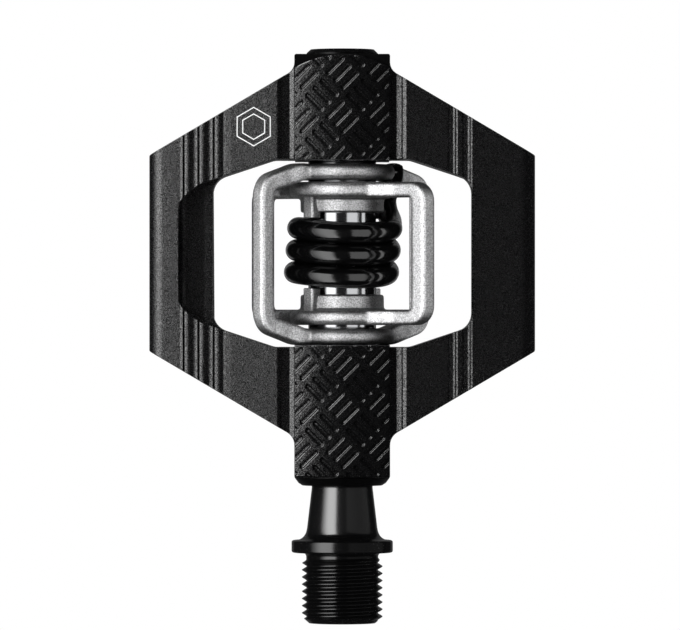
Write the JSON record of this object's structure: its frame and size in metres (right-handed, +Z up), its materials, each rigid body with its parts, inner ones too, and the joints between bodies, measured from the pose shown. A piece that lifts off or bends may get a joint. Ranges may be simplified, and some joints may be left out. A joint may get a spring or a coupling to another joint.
{
  "type": "clipless pedal",
  "caption": "Dual-sided clipless bicycle pedal: black aluminium body around crossed spring-loaded steel wings on a threaded spindle.",
  "frame": {"origin": "on the spindle axis at the crank-side face of the spindle flange, where the pedal seats on the crank arm", "axes": "+Y outboard along the spindle, +X towards the rear of the bicycle, +Z up out of one of the two identical faces"},
  "size_m": [0.0682, 0.1017, 0.0264],
  "materials": {
    "black_steel": "satin black coating on steel",
    "bearing_steel": "ground and polished",
    "zinc_steel": "zinc plated",
    "cage_brass": "satin",
    "black_aluminium": "bead blasted, anodised black",
    "pad_polymer": "matt moulded",
    "bush_polymer": "smooth moulded",
    "seal_rubber": "matt",
    "seal_ring_polymer": "satin moulded",
    "cap_aluminium": "turned, anodised black",
    "sleeve_steel": "polished",
    "wing_steel": "tumbled satin stainless",
    "spring_steel": "gloss black coating on steel wire"
  },
  "bodies": {
    "spindle": {"spindle": "black_steel", "bearing_inner_race": "bearing_steel", "nut_washer": "zinc_steel", "lock_nut": "zinc_steel"},
    "bearing_cage": {"bearing_balls": "bearing_steel", "ball_cage": "cage_brass"},
    "pedal_body": {"pedal_frame": "black_aluminium", "outer_traction_pad": "pad_polymer", "inner_traction_pad": "pad_polymer", "inner_bushing": "bush_polymer", "lip_seal": "seal_rubber", "seal_ring": "seal_ring_polymer", "bearing_outer_race": "bearing_steel", "bearing_shields": "bearing_steel", "end_cap": "cap_aluminium", "end_cap_o_ring": "seal_rubber", "wing_sleeve": "sleeve_steel"},
    "outer_wing": {"outer_wing": "wing_steel"},
    "inner_wing": {"inner_wing": "wing_steel", "torsion_spring": "spring_steel"}
  },
  "joints": [
    {"name": "pedal_spin", "type": "hinge", "parent": "spindle", "child": "pedal_body", "pos_m": [0, 0.053, 0], "axis": [0, 1, 0], "continuous": true},
    {"name": "cage_orbit", "type": "hinge", "parent": "spindle", "child": "bearing_cage", "pos_m": [0, 0.0785, 0], "axis": [0, 1, 0], "continuous": true},
    {"name": "outer_wing_swing", "type": "hinge", "parent": "pedal_body", "child": "outer_wing", "pos_m": [0, 0.053, 0], "axis": [0, 1, 0], "range_deg": [-20, 0], "stiffness_Nm_per_rad": 1.5},
    {"name": "inner_wing_swing", "type": "hinge", "parent": "pedal_body", "child": "inner_wing", "pos_m": [0, 0.053, 0], "axis": [0, 1, 0], "range_deg": [0, 20], "stiffness_Nm_per_rad": 1.5, "deforming": ["torsion_spring"]}
  ],
  "couplings": [
    {"joint": "cage_orbit", "follows": "pedal_spin", "ratio": 0.599}
  ]
}
